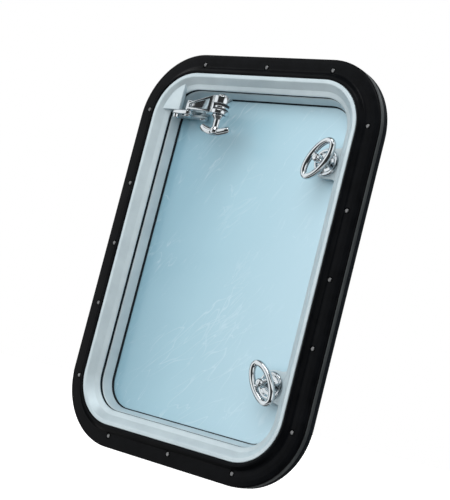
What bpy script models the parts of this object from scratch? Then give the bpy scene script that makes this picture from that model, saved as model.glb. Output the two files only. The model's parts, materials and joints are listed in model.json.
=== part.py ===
"""Opening porthole: a glazed sash in a flanged aluminium frame, with two turn dogs and a folding friction stay.

Frame of the model, in metres: +X to the right and +Z up as seen from inside the boat, +Y outboard.
The origin is the centre of the opening, on the plane where the flange gasket meets the hull.
Sections and plans below are written in millimetres as (inset, depth) or (x, depth): inset runs inward from
the inner edge of the trim ring, and depth runs outboard from the frame's rim.
"""

import math

import bmesh
import bpy
from mathutils import Matrix, Vector

MM = 0.001

# Driving dimensions, in millimetres
FLANGE_HEIGHT = 450.0
FLANGE_WIDTH = 328.0
FLANGE_BAND = 23.8          # width of the flange outside the rim
RIM_CORNER_RADIUS = 52.5
CORNER_SEGMENTS = 8
SEAT_DEPTH = 22.3           # rim plane to the hull seat, through ring, flange and gasket
GAP = 0.3                   # clearance between faces that touch on the real object

RIM_HALF_WIDTH = FLANGE_WIDTH / 2 - FLANGE_BAND
RIM_HALF_HEIGHT = FLANGE_HEIGHT / 2 - FLANGE_BAND

# Ring sections, as (inset, depth)
TRIM_BACK = 9.4
FLANGE_FRONT = TRIM_BACK + GAP
FLANGE_BACK = 15.3
LEDGE_EDGE = 16.7           # inset of the ledge that the sash closes against
LEDGE_BACK = 11.7
LEDGE_TIP_BACK = 10.7
SPIGOT_OUTSIDE = -1.8
SPIGOT_INSIDE = 2.0
SPIGOT_END = 37.0
SEAL_EDGE = 17.0
SEAL_BACK = 13.7
SASH_OUTSIDE = 4.2
SASH_FRONT = SEAL_BACK + GAP
SASH_BACK = 38.0
SASH_LIP = 21.2             # inset of the lip that holds the glass from inside
LIP_BACK = 25.2
REBATE = 12.5               # inset of the rebate wall that the glass sits in
GLASS_FRONT = 27.7
GLASS_THICKNESS = 8.0
BEAD_FRONT = 37.0

TRIM_SECTION = [(0, TRIM_BACK), (0, 0.9), (-0.8, 0.1), (-2.2, -0.3), (-4.0, 0.4), (-6.0, 2.3), (-7.4, 3.8),
                (-9.0, 4.5), (-13.5, 4.7), (-18.5, 5.3), (-22.2, 6.1), (-23.4, 6.9), (-FLANGE_BAND, 7.8),
                (-FLANGE_BAND, TRIM_BACK)]
FRAME_SECTION = [(-FLANGE_BAND, FLANGE_FRONT), (GAP, FLANGE_FRONT), (GAP, 0.8), (1.0, 0), (4.0, 0), (4.9, 0.4),
                 (11.3, 6.8), (16.2, 9.1), (LEDGE_EDGE, 9.6), (LEDGE_EDGE, LEDGE_TIP_BACK),
                 (14.0, LEDGE_TIP_BACK), (14.0, LEDGE_BACK), (SPIGOT_INSIDE, LEDGE_BACK),
                 (SPIGOT_INSIDE, SPIGOT_END), (SPIGOT_OUTSIDE, SPIGOT_END),
                 (SPIGOT_OUTSIDE, FLANGE_BACK), (-FLANGE_BAND, FLANGE_BACK)]
GASKET_SECTION = [(-23.3, FLANGE_BACK + GAP), (-2.5, FLANGE_BACK + GAP), (-2.5, SEAT_DEPTH), (-23.3, SEAT_DEPTH)]
SEAL_SECTION = [(14.3, LEDGE_TIP_BACK + GAP), (SEAL_EDGE, LEDGE_TIP_BACK + GAP), (SEAL_EDGE, SEAL_BACK),
                (7.5, SEAL_BACK), (7.5, LEDGE_BACK + GAP), (14.3, LEDGE_BACK + GAP)]
SASH_SECTION = [(SASH_OUTSIDE, SASH_FRONT), (16.8, SASH_FRONT), (17.6, 14.8), (SASH_LIP, 24.6),
                (SASH_LIP - 0.4, LIP_BACK), (REBATE, LIP_BACK), (REBATE, SASH_BACK), (SASH_OUTSIDE, SASH_BACK)]
FRONT_GASKET_SECTION = [(REBATE + GAP, LIP_BACK + GAP), (21.7, LIP_BACK + GAP), (22.2, 26.0),
                        (22.2, GLASS_FRONT - GAP), (REBATE + GAP, GLASS_FRONT - GAP)]
GLASS_BACK = GLASS_FRONT + GLASS_THICKNESS
REAR_TAPE_SECTION = [(REBATE + GAP, GLASS_BACK + GAP), (18.0, GLASS_BACK + GAP), (18.0, BEAD_FRONT - GAP),
                     (REBATE + GAP, BEAD_FRONT - GAP)]
BEAD_SECTION = [(REBATE + GAP, BEAD_FRONT), (19.5, BEAD_FRONT), (19.5, 37.8), (17.2, 39.6), (REBATE + GAP, 39.6)]

# Trim screws
SCREW_INSET = -11.0
SCREW_FACE = 4.5
SCREW_HEAD_RADIUS = 2.3
SCREW_SHANK_RADIUS = 1.7
SCREW_END = 31.0
SIDE_SCREW_HEIGHTS = (156, 68, -3, -73, -157)
END_SCREW_PLACES = (-84, 4, 92)

# Dogs: an oval ring handle on a spindle, carried by a lug of the sash
DOG_X = 102.4
DOG_HEIGHT = 117.5
DOG_REST_ANGLES = {"upper": 59.0, "lower": -53.0}
LUG_RADIUS = 16.5
LUG_FRONT = 18.8
LUG_BACK = 23.0
RING_HALF_LENGTH = 25.8
RING_HALF_WIDTH = 13.4
RING_TUBE = 3.4
RING_DEPTH = 2.5
HUB_RADIUS = 4.6
SPINDLE_RADIUS = 2.7
ROSETTE_RADIUS = 14.8
SPINDLE_TIP = -2.0          # depth of the spindle's inboard end

# Hinge on the left, outboard of the hull, and the folding stay: a parallelogram on hinge, bracket and sash
HINGE_X = -146.5
HINGE_DEPTH = 42.0
HINGE_HEIGHTS = {"upper": 120.0, "lower": -120.0}
KNUCKLE_RADIUS = 4.5
HINGE_PIN_RADIUS = 2.3
STAY_FRAME_PIVOT = (-94.0, 8.0)
STAY_SASH_PIVOT = (-81.1, 20.0)
STAY_ELBOW = (STAY_FRAME_PIVOT[0] + STAY_SASH_PIVOT[0] - HINGE_X,
              STAY_FRAME_PIVOT[1] + STAY_SASH_PIVOT[1] - HINGE_DEPTH)
GUSSET_LOW = 158.3
BRACKET_LOW = 153.8
BRACKET_SCREW_X = -110.0
BRACKET_SCREW_DEPTH = 6.8
LINK_LOW, LINK_HIGH = 156.4, 159.4
LUG_EAR = 2.4
LUG_LOW, LUG_HIGH = LINK_LOW - GAP - LUG_EAR, LINK_HIGH + GAP + LUG_EAR
WASHER_THICKNESS = 1.2
ARM_LOW, ARM_HIGH = 158.5, 167.5       # at the frame pivot
ELBOW_LOW, ELBOW_HIGH = 150.0, 169.5
ELBOW_RADIUS = 10.8
WEB_THICKNESS = 3.2
WEB_OFFSETS = (-2.4, -10.6)            # inboard of the pivot line, at the frame and at the elbow
LINK_EYE_RADIUS = 8.6
PIN_RADIUS = 3.0
HOLE_PLAY = 0.3
KNOB_LOW = 128.0
KNOB_REST_ANGLE = 10.0
WING_REACH = 17.5
WING_RISE = 5.0
WING_RADIUS = 4.3

for old in list(bpy.data.objects):
    bpy.data.objects.remove(old, do_unlink=True)


def new_collection(name):
    collection = bpy.data.collections.new(name)
    bpy.context.scene.collection.children.link(collection)
    return collection


PARTS = new_collection("opening_porthole")
CUTTERS = new_collection("cutters")


def material(name, colour, metallic, roughness):
    made = bpy.data.materials.new(name)
    made.use_nodes = True
    shader = made.node_tree.nodes["Principled BSDF"]
    shader.inputs["Base Color"].default_value = (*colour, 1)
    shader.inputs["Metallic"].default_value = metallic
    shader.inputs["Roughness"].default_value = roughness
    return made


CAST_ALUMINIUM = material("cast_aluminium", (0.62, 0.68, 0.72), 1.0, 0.38)
BLACK_COATING = material("black_coating", (0.012, 0.013, 0.015), 0.0, 0.35)
BLACK_RUBBER = material("black_rubber", (0.015, 0.016, 0.018), 0.0, 0.7)
POLISHED_STEEL = material("polished_steel", (0.78, 0.79, 0.8), 1.0, 0.1)
BRUSHED_STEEL = material("brushed_steel", (0.6, 0.61, 0.62), 1.0, 0.3)
GLASS = material("toughened_glass", (0.45, 0.66, 0.76), 0.0, 0.05)
NYLON = material("nylon", (0.75, 0.75, 0.72), 0.0, 0.5)


def place(x, depth, z):
    """World position of a point given in millimetres."""
    return Vector((x, depth - SEAT_DEPTH, z)) * MM


def add(name, mesh, look=None):
    """A sub-part with its material, or a hidden cutter when no material is given."""
    part = bpy.data.objects.new(name, mesh)
    mesh.materials.clear()
    if look:
        mesh.materials.append(look)
        PARTS.objects.link(part)
    else:
        CUTTERS.objects.link(part)
        part.hide_render = True
        part.display_type = "WIRE"
    return part


def take_mesh(maker):
    """Turns a curve or a modified object into a closed mesh in world space and removes the maker."""
    CUTTERS.objects.link(maker)
    bpy.context.view_layer.update()
    evaluated = maker.evaluated_get(bpy.context.evaluated_depsgraph_get())
    mesh = bpy.data.meshes.new_from_object(evaluated)
    mesh.transform(maker.matrix_world)
    bpy.data.objects.remove(maker, do_unlink=True)
    work = bmesh.new()
    work.from_mesh(mesh)
    bmesh.ops.remove_doubles(work, verts=work.verts, dist=0.000005)
    bmesh.ops.recalc_face_normals(work, faces=work.faces)
    work.to_mesh(mesh)
    work.free()
    return mesh


def poly_curve(name, points, closed=True):
    """A curve object through points given in metres, in its own XY plane."""
    curve = bpy.data.curves.new(name, "CURVE")
    curve.dimensions = "2D"
    spline = curve.splines.new("POLY")
    spline.points.add(len(points) - 1)
    for spot, (x, y) in zip(spline.points, points):
        spot.co = (x, y, 0, 1)
    spline.use_cyclic_u = closed
    return bpy.data.objects.new(name, curve)


def rounded_rectangle(half_width, half_height, radius, segments):
    """Corner points, counter-clockwise, of a rectangle whose corners are arcs."""
    points = []
    for quarter in range(4):
        side_x = 1 if quarter in (0, 3) else -1
        side_y = 1 if quarter < 2 else -1
        for step in range(segments + 1):
            angle = math.radians(90 * (quarter + step / segments))
            points.append((side_x * (half_width - radius) + radius * math.cos(angle),
                           side_y * (half_height - radius) + radius * math.sin(angle)))
    return points


FACE_ON = Matrix.Rotation(math.radians(90), 4, "X")     # XY drawing to the XZ plane, drawn side inboard


def swept_ring(section):
    """A closed ring with the given (inset, depth) section all round the rim's outline."""
    outline = rounded_rectangle(RIM_HALF_WIDTH * MM, RIM_HALF_HEIGHT * MM, RIM_CORNER_RADIUS * MM,
                                CORNER_SEGMENTS)
    path = poly_curve("ring_path", outline)
    profile = poly_curve("ring_profile", [(-inset * MM, -(depth - SEAT_DEPTH) * MM) for inset, depth in section])
    CUTTERS.objects.link(profile)
    path.data.dimensions = "3D"
    path.data.bevel_mode = "OBJECT"
    path.data.bevel_object = profile
    path.matrix_world = FACE_ON
    mesh = take_mesh(path)
    bpy.data.objects.remove(profile, do_unlink=True)
    return mesh


def flat_plate(outline, front, back):
    """A plate parallel to the glass, from an (x, z) outline, between two depths."""
    plate = poly_curve("plate", [(x * MM, z * MM) for x, z in outline])
    plate.data.fill_mode = "BOTH"
    plate.data.extrude = (back - front) / 2 * MM
    plate.matrix_world = Matrix.Translation(place(0, (front + back) / 2, 0)) @ FACE_ON
    return take_mesh(plate)


def level_plate(outline, low, high):
    """A level plate, from an (x, depth) outline, between two heights."""
    plate = poly_curve("plate", [(x * MM, (depth - SEAT_DEPTH) * MM) for x, depth in outline])
    plate.data.fill_mode = "BOTH"
    plate.data.extrude = (high - low) / 2 * MM
    plate.matrix_world = Matrix.Translation((0, 0, (low + high) / 2 * MM))
    return take_mesh(plate)


def turned(profile, base, direction, segments=24):
    """A turned solid: (radius, distance) points from the axis, out and back to it, about a line from base."""
    mesh = bpy.data.meshes.new("profile")
    mesh.from_pydata([(radius * MM, 0, along * MM) for radius, along in profile],
                     [(i, (i + 1) % len(profile)) for i in range(len(profile))], [])
    lathe = bpy.data.objects.new("lathe", mesh)
    screw = lathe.modifiers.new("turn", "SCREW")
    screw.steps = screw.render_steps = segments
    screw.use_merge_vertices = True
    screw.merge_threshold = 0.00001
    turn = Vector(direction).to_track_quat("Z", "Y").to_matrix().to_4x4()
    lathe.matrix_world = Matrix.Translation(place(*base)) @ turn
    return take_mesh(lathe)


def rod(radius, start, end, segments=24):
    """A plain round bar between two points given in millimetres."""
    length = (Vector(end) - Vector(start)).length
    return turned([(radius, 0), (radius, length), (0, length), (0, 0)], start, Vector(end) - Vector(start), segments)


def tube(radius, bore, start, end, segments=24):
    """A round bar with a hole right through it."""
    length = (Vector(end) - Vector(start)).length
    return turned([(radius, 0), (radius, length), (bore, length), (bore, 0)], start,
                  Vector(end) - Vector(start), segments)


def block(low, high):
    """A box between two corners given in millimetres as (x, depth, z)."""
    mesh = bpy.data.meshes.new("block")
    work = bmesh.new()
    centre = (Vector(low) + Vector(high)) / 2
    size = (Vector(high) - Vector(low)) * MM
    bmesh.ops.create_cube(work, size=1, matrix=Matrix.Translation(place(*centre)) @ Matrix.Diagonal((*size, 1)))
    work.to_mesh(mesh)
    work.free()
    return mesh


def combine(part, operation, name, mesh):
    """Adds or removes a shape, kept as a hidden cutter."""
    change = part.modifiers.new(name, "BOOLEAN")
    change.operation = operation
    change.solver = "EXACT"
    change.object = add(f"{part.name}_{name}", mesh)


def joined_mesh(meshes):
    """Several separate shapes as one cutter mesh."""
    work = bmesh.new()
    for mesh in meshes:
        work.from_mesh(mesh)
    whole = bpy.data.meshes.new("shapes")
    work.to_mesh(whole)
    work.free()
    return whole


def arc(centre, radius, start, end, segments=12):
    """Points along an arc, angles in degrees."""
    angles = [math.radians(start + (end - start) * i / segments) for i in range(segments + 1)]
    return [(centre[0] + radius * math.cos(a), centre[1] + radius * math.sin(a)) for a in angles]


def move_origin(part, point):
    """Puts an object's origin on its joint axis without moving its shape."""
    part.data.transform(Matrix.Translation(-point))
    part.location = point


def trim_screw_places():
    side = RIM_HALF_WIDTH - SCREW_INSET
    end = RIM_HALF_HEIGHT - SCREW_INSET
    places = [(side, z) for z in SIDE_SCREW_HEIGHTS] + [(x, -end) for x in reversed(END_SCREW_PLACES)]
    places += [(-side, z) for z in reversed(SIDE_SCREW_HEIGHTS)] + [(x, end) for x in END_SCREW_PLACES]
    return places


def screw_holes(radius, front, back):
    return joined_mesh([rod(radius, (x, front, z), (x, back, z), 12) for x, z in trim_screw_places()])


def build_frame():
    frame = add("main_frame", swept_ring(FRAME_SECTION), CAST_ALUMINIUM)
    combine(frame, "DIFFERENCE", "screw_holes", screw_holes(2.2, FLANGE_FRONT - 1, FLANGE_BACK + 1))

    # Corner gusset that carries the stay bracket, following the rim's corner
    centre = (-(RIM_HALF_WIDTH - RIM_CORNER_RADIUS), RIM_HALF_HEIGHT - RIM_CORNER_RADIUS)
    reach = RIM_CORNER_RADIUS - 7.5
    gusset = arc(centre, reach, 114, 167.7, 8) + [(-106, GUSSET_LOW)]
    combine(frame, "UNION", "gusset", flat_plate(gusset, 4.0, 9.5))
    hole = rod(1.8, (BRACKET_SCREW_X, BRACKET_SCREW_DEPTH, 157), (BRACKET_SCREW_X, BRACKET_SCREW_DEPTH, 166), 12)
    combine(frame, "DIFFERENCE", "bracket_hole", hole)

    # Hinge lugs, two at each hinge with the sash arm between them
    for where, height in HINGE_HEIGHTS.items():
        for side, low in (("top", height + 8 + GAP), ("bottom", height - 14)):
            high = low + 6 - GAP
            outline = arc((HINGE_X, HINGE_DEPTH), KNUCKLE_RADIUS, 0, 180)
            outline += [(HINGE_X - KNUCKLE_RADIUS, 36), (-142.5, 29), (-139, 29), (-139, 36.5)]
            combine(frame, "UNION", f"hinge_lug_{where}_{side}", level_plate(outline, low, high))
        bore = rod(HINGE_PIN_RADIUS + HOLE_PLAY, (HINGE_X, HINGE_DEPTH, height - 20), (HINGE_X, HINGE_DEPTH, height + 20))
        combine(frame, "DIFFERENCE", f"pin_bore_{where}", bore)

    trim = add("trim_ring", swept_ring(TRIM_SECTION), BLACK_COATING)
    combine(trim, "DIFFERENCE", "screw_holes", screw_holes(2.1, -2, TRIM_BACK + 1))
    sinks = [turned([(4.6, 0), (2.0, 2.6), (0, 2.6), (0, 0)], (x, SCREW_FACE - 1.0, z), (0, 1, 0), 12)
             for x, z in trim_screw_places()]
    combine(trim, "DIFFERENCE", "countersinks", joined_mesh(sinks))

    gasket = add("flange_gasket", swept_ring(GASKET_SECTION), BLACK_RUBBER)
    combine(gasket, "DIFFERENCE", "screw_holes", screw_holes(2.0, FLANGE_BACK, SEAT_DEPTH + 1))
    add("frame_seal", swept_ring(SEAL_SECTION), BLACK_RUBBER)

    for number, (x, z) in enumerate(trim_screw_places(), 1):
        profile = [(0, 0), (1.6, 0), (SCREW_HEAD_RADIUS - 0.1, 0.3), (SCREW_HEAD_RADIUS, 0.8), (SCREW_SHANK_RADIUS, 2.1),
                   (SCREW_SHANK_RADIUS, SCREW_END - SCREW_FACE - 2.5), (0, SCREW_END - SCREW_FACE)]
        add(f"trim_screw_{number:02d}", turned(profile[::-1], (x, SCREW_FACE - 0.3, z), (0, 1, 0), 12), BRUSHED_STEEL)


def build_sash():
    sash = add("sash_frame", swept_ring(SASH_SECTION), CAST_ALUMINIUM)
    lip = RIM_HALF_WIDTH - SASH_LIP
    for where, height in (("upper", DOG_HEIGHT), ("lower", -DOG_HEIGHT)):
        outline = arc((DOG_X, height), LUG_RADIUS, 90, 270, 14)
        outline += [(lip - 4, height - LUG_RADIUS), (lip, height - LUG_RADIUS - 4), (lip + 1, height - LUG_RADIUS - 4),
                    (lip + 1, height + LUG_RADIUS + 4), (lip, height + LUG_RADIUS + 4), (lip - 4, height + LUG_RADIUS)]
        combine(sash, "UNION", f"dog_lug_{where}", flat_plate(outline, LUG_FRONT, LUG_BACK))
        hole = rod(SPINDLE_RADIUS + HOLE_PLAY, (DOG_X, LUG_FRONT - 2, height), (DOG_X, LUG_BACK + 2, height))
        combine(sash, "DIFFERENCE", f"dog_bore_{where}", hole)

    # Forked lug for the stay link
    pivot_x, pivot_depth = STAY_SASH_PIVOT
    outline = [(-lip - 1, 17.5), (-lip + 2, 15.0)] + arc(STAY_SASH_PIVOT, 5.2, -90, 90) + [(-lip - 1, 25.1)]
    combine(sash, "UNION", "stay_lug", level_plate(outline, LUG_LOW, LUG_HIGH))
    slot = block((pivot_x - 9, 10, LINK_LOW - GAP), (pivot_x + 9, 30, LINK_HIGH + GAP))
    combine(sash, "DIFFERENCE", "stay_slot", slot)
    bore = rod(PIN_RADIUS + HOLE_PLAY, (pivot_x, pivot_depth, LUG_LOW - 1), (pivot_x, pivot_depth, LUG_HIGH + 1))
    combine(sash, "DIFFERENCE", "stay_bore", bore)

    add("front_glazing_gasket", swept_ring(FRONT_GASKET_SECTION), BLACK_RUBBER)
    add("rear_glazing_tape", swept_ring(REAR_TAPE_SECTION), BLACK_RUBBER)
    add("glazing_bead", swept_ring(BEAD_SECTION), CAST_ALUMINIUM)
    inset = REBATE + 0.5
    pane = rounded_rectangle(RIM_HALF_WIDTH - inset, RIM_HALF_HEIGHT - inset, RIM_CORNER_RADIUS - inset, CORNER_SEGMENTS)
    add("glass_pane", flat_plate(pane, GLASS_FRONT, GLASS_BACK), GLASS)

    screw_x = -(RIM_HALF_WIDTH - (SASH_OUTSIDE + REBATE) / 2)
    holes = []
    for where, height in HINGE_HEIGHTS.items():
        inner = -(RIM_HALF_WIDTH - REBATE) - GAP
        outline = [(inner, SASH_BACK + GAP), (inner, 41.6), (inner - 8.7, 41.6)]
        outline += arc((HINGE_X, HINGE_DEPTH), KNUCKLE_RADIUS, 70, 292, 14)
        arm = add(f"sash_hinge_arm_{where}", level_plate(outline, height - 8, height + 8), CAST_ALUMINIUM)
        bore = rod(HINGE_PIN_RADIUS + HOLE_PLAY, (HINGE_X, HINGE_DEPTH, height - 10), (HINGE_X, HINGE_DEPTH, height + 10))
        combine(arm, "DIFFERENCE", "pin_bore", bore)
        spots = [(screw_x, height + side) for side in (-4.2, 4.2)]
        arm_holes = [rod(1.9, (x, 37, z), (x, 45, z), 12) for x, z in spots]
        combine(arm, "DIFFERENCE", "screw_holes", joined_mesh(arm_holes))
        holes += [rod(1.8, (x, 30, z), (x, 39, z), 12) for x, z in spots]
        for number, (x, z) in enumerate(spots, 1):
            profile = [(0, 0), (1.5, 0), (1.5, 10.6), (3.0, 10.6), (3.0, 11.9), (2.2, 12.6), (0, 12.6)]
            add(f"hinge_screw_{where}_{number}", turned(profile, (x, 31.3, z), (0, 1, 0), 12), BRUSHED_STEEL)
    combine(sash, "DIFFERENCE", "hinge_screw_holes", joined_mesh(holes))

    for where, height in HINGE_HEIGHTS.items():
        profile = [(0, 0), (HINGE_PIN_RADIUS, 0), (HINGE_PIN_RADIUS, 30.5), (3.6, 30.5), (3.6, 31.8), (2.6, 32.6), (0, 32.6)]
        add(f"hinge_pin_{where}", turned(profile, (HINGE_X, HINGE_DEPTH, height - 16.2), (0, 0, 1), 16), POLISHED_STEEL)


def build_dog(where):
    height = DOG_HEIGHT if where == "upper" else -DOG_HEIGHT
    axis = place(DOG_X, RING_DEPTH, height)
    inboard = (0, -1, 0)

    bore_radius = SPINDLE_RADIUS + HOLE_PLAY
    base = [(bore_radius, 0), (ROSETTE_RADIUS, 0), (ROSETTE_RADIUS, 1.6), (13.6, 2.9), (11.6, 2.9), (10.0, 1.9),
            (6.2, 2.2), (5.2, 4.2), (bore_radius, 4.2)]
    add(f"dog_base_{where}", turned(base, (DOG_X, LUG_FRONT - GAP, height), inboard, 28), POLISHED_STEEL)
    spindle = rod(SPINDLE_RADIUS, (DOG_X, 27.0, height), (DOG_X, SPINDLE_TIP, height))
    add(f"dog_spindle_{where}", spindle, POLISHED_STEEL)
    hexagon = arc((DOG_X, height), 6.4, 0, 300, 5)
    nut = add(f"dog_nut_{where}", flat_plate(hexagon, LUG_BACK + GAP, 26.6), BRUSHED_STEEL)
    bore = rod(bore_radius, (DOG_X, LUG_BACK, height), (DOG_X, 28, height))
    combine(nut, "DIFFERENCE", "bore", bore)

    centre_line = [((RING_HALF_LENGTH - RING_TUBE) * MM * math.cos(a), (RING_HALF_WIDTH - RING_TUBE) * MM * math.sin(a))
                   for a in (math.radians(10 * step) for step in range(36))]
    ring = poly_curve("ring", centre_line)
    ring.data.dimensions = "3D"
    ring.data.bevel_depth = RING_TUBE * MM
    ring.data.bevel_resolution = 3
    turn = Matrix.Rotation(math.radians(DOG_REST_ANGLES[where]), 4, "Z")
    ring.matrix_world = Matrix.Translation(axis) @ FACE_ON @ turn
    handle = add(f"dog_handle_{where}", take_mesh(ring), POLISHED_STEEL)
    hub = [(0, 0), (HUB_RADIUS, 0), (HUB_RADIUS, 6.6), (0, 6.6)]
    combine(handle, "UNION", "hub", turned(hub, (DOG_X, RING_DEPTH + 3.6, height), inboard))
    across = Vector((-math.sin(math.radians(DOG_REST_ANGLES[where])), 0, math.cos(math.radians(DOG_REST_ANGLES[where]))))
    reach = across * (RING_HALF_WIDTH - RING_TUBE)
    bar_centre = Vector((DOG_X, RING_DEPTH, height))
    combine(handle, "UNION", "crossbar", rod(2.5, bar_centre - reach, bar_centre + reach, 16))
    bore = rod(bore_radius, (DOG_X, -5, height), (DOG_X, 12, height), 16)
    combine(handle, "DIFFERENCE", "bore", bore)
    move_origin(handle, axis)

    cap = [(bore_radius, 0), (4.3, 0), (4.3, 1.6), (2.6, 3.4), (0, 3.9), (0, 2.0), (bore_radius, 2.0)]
    add(f"dog_cap_{where}", turned(cap, (DOG_X, RING_DEPTH - 3.3, height), inboard, 20), POLISHED_STEEL)


def build_stay():
    frame_x, frame_depth = STAY_FRAME_PIVOT
    elbow_x, elbow_depth = STAY_ELBOW
    sash_x, sash_depth = STAY_SASH_PIVOT
    length = math.dist(STAY_FRAME_PIVOT, STAY_ELBOW)

    outline = [(-115, 9.4), (-115, 4.5), (-112, 3.0)] + arc(STAY_FRAME_PIVOT, 5.6, -90, 90) + [(-104, 9.4)]
    bracket = add("stay_bracket", level_plate(outline, BRACKET_LOW, GUSSET_LOW - GAP), POLISHED_STEEL)
    bore = rod(PIN_RADIUS + HOLE_PLAY, (frame_x, frame_depth, 150), (frame_x, frame_depth, 160))
    combine(bracket, "DIFFERENCE", "bore", bore)
    screw_axis = (BRACKET_SCREW_X, BRACKET_SCREW_DEPTH)
    combine(bracket, "DIFFERENCE", "screw_hole", rod(1.9, (*screw_axis, 150), (*screw_axis, 160), 12))
    profile = [(0, 0), (3.0, 0), (3.7, 0.8), (3.7, 4.2), (1.5, 4.2), (1.5, 15.0), (0, 15.0)]
    add("stay_bracket_screw", turned(profile, (*screw_axis, BRACKET_LOW - GAP - 4.2), (0, 0, 1), 14), POLISHED_STEEL)
    pin_low = BRACKET_LOW - GAP - 2.4
    pin_high = ARM_HIGH + GAP - pin_low
    profile = [(0, 0), (3.6, 0), (4.6, 0.8), (4.6, 2.4), (PIN_RADIUS, 2.4), (PIN_RADIUS, pin_high), (4.4, pin_high),
               (4.4, pin_high + 1.8), (3.4, pin_high + 3.0), (0, pin_high + 3.0)]
    add("stay_frame_pin", turned(profile, (frame_x, frame_depth, pin_low), (0, 0, 1), 20), POLISHED_STEEL)

    # Flared arm: a panelled web on its inboard side, and two cheeks at the elbow with the link between them
    heading = math.atan2(elbow_depth - frame_depth, elbow_x - frame_x)
    run = Vector((math.cos(heading), math.sin(heading)))
    side = Vector((-math.sin(heading), math.cos(heading)))

    def arm_spot(along, offset):
        return tuple(Vector(STAY_FRAME_PIVOT) + run * along + side * offset)

    def web_plate(name, side_view, offset, thickness):
        plate = poly_curve(name, [(along * MM, z * MM) for along, z in side_view])
        plate.data.fill_mode = "BOTH"
        plate.data.extrude = thickness / 2 * MM
        splay = math.atan2(WEB_OFFSETS[1] - WEB_OFFSETS[0], length)
        start = arm_spot(0, WEB_OFFSETS[0] + offset)
        plate.matrix_world = (Matrix.Translation(place(*start, 0))
                              @ Matrix.Rotation(heading + splay, 4, "Z") @ FACE_ON)
        return take_mesh(plate)

    web = [(0, ARM_LOW + 1.8), (length, ELBOW_LOW), (length, ELBOW_HIGH), (0, ARM_HIGH)]
    arm = add("stay_arm", web_plate("web", web, 0, WEB_THICKNESS), POLISHED_STEEL)
    panel = [(9, ARM_LOW + 2.8), (60, ELBOW_LOW + 3.6), (60, ELBOW_HIGH - 2.6), (9, ARM_HIGH - 2.0)]
    combine(arm, "DIFFERENCE", "web_panel", web_plate("panel", panel, -WEB_THICKNESS / 2, 2.6))
    frame_eye = rod(4.8, (frame_x, frame_depth, ARM_LOW), (frame_x, frame_depth, ARM_HIGH))
    combine(arm, "UNION", "frame_eye", frame_eye)
    toward_elbow = math.degrees(heading)
    slot_low, slot_high = LINK_LOW - 2 * GAP - WASHER_THICKNESS, LINK_HIGH + 2 * GAP + WASHER_THICKNESS
    top_cheek = [arm_spot(38, -6.9)] + arc(STAY_ELBOW, ELBOW_RADIUS, toward_elbow - 95, toward_elbow + 110, 24)
    combine(arm, "UNION", "top_cheek", level_plate(top_cheek, slot_high, ELBOW_HIGH))
    low_cheek = [arm_spot(54, -8.8)] + arc(STAY_ELBOW, ELBOW_RADIUS, toward_elbow - 95, toward_elbow + 140, 24)
    combine(arm, "UNION", "low_cheek", level_plate(low_cheek, ELBOW_LOW, slot_low))
    for end, (x, depth) in (("frame", STAY_FRAME_PIVOT), ("elbow", STAY_ELBOW)):
        combine(arm, "DIFFERENCE", f"{end}_bore", rod(PIN_RADIUS + HOLE_PLAY, (x, depth, 140), (x, depth, 180)))
    move_origin(arm, place(frame_x, frame_depth, ARM_LOW))

    # Link from the elbow back to the sash
    link_heading = math.degrees(math.atan2(elbow_depth - sash_depth, elbow_x - sash_x))
    outline = arc(STAY_ELBOW, LINK_EYE_RADIUS, link_heading - 110, link_heading + 110, 20)
    outline += arc(STAY_SASH_PIVOT, 4.9, link_heading + 90, link_heading + 270)
    link = add("stay_link", level_plate(outline, LINK_LOW, LINK_HIGH), POLISHED_STEEL)
    for end, (x, depth) in (("elbow", STAY_ELBOW), ("sash", STAY_SASH_PIVOT)):
        combine(link, "DIFFERENCE", f"{end}_bore", rod(PIN_RADIUS + HOLE_PLAY, (x, depth, 140), (x, depth, 180)))
    move_origin(link, place(elbow_x, elbow_depth, LINK_LOW))

    for name, low in (("upper", LINK_HIGH + GAP), ("lower", LINK_LOW - GAP - WASHER_THICKNESS)):
        washer = tube(LINK_EYE_RADIUS, PIN_RADIUS + HOLE_PLAY, (elbow_x, elbow_depth, low),
                      (elbow_x, elbow_depth, low + WASHER_THICKNESS))
        add(f"friction_washer_{name}", washer, NYLON)

    shank = ELBOW_HIGH + GAP - 137.0
    profile = [(0, 0), (PIN_RADIUS, 0), (PIN_RADIUS, shank), (6.4, shank), (6.4, shank + 1.6), (4.8, shank + 2.8),
               (0, shank + 2.8)]
    add("stay_elbow_bolt", turned(profile, (elbow_x, elbow_depth, 137.0), (0, 0, 1)), POLISHED_STEEL)
    pin_low = LUG_LOW - GAP - 2.2
    profile = [(0, 0), (3.6, 0), (4.6, 0.8), (4.6, 2.2), (PIN_RADIUS, 2.2), (PIN_RADIUS, LUG_HIGH - pin_low),
               (0, LUG_HIGH - pin_low)]
    add("stay_sash_pin", turned(profile, (sash_x, sash_depth, pin_low), (0, 0, 1), 20), POLISHED_STEEL)

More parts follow.
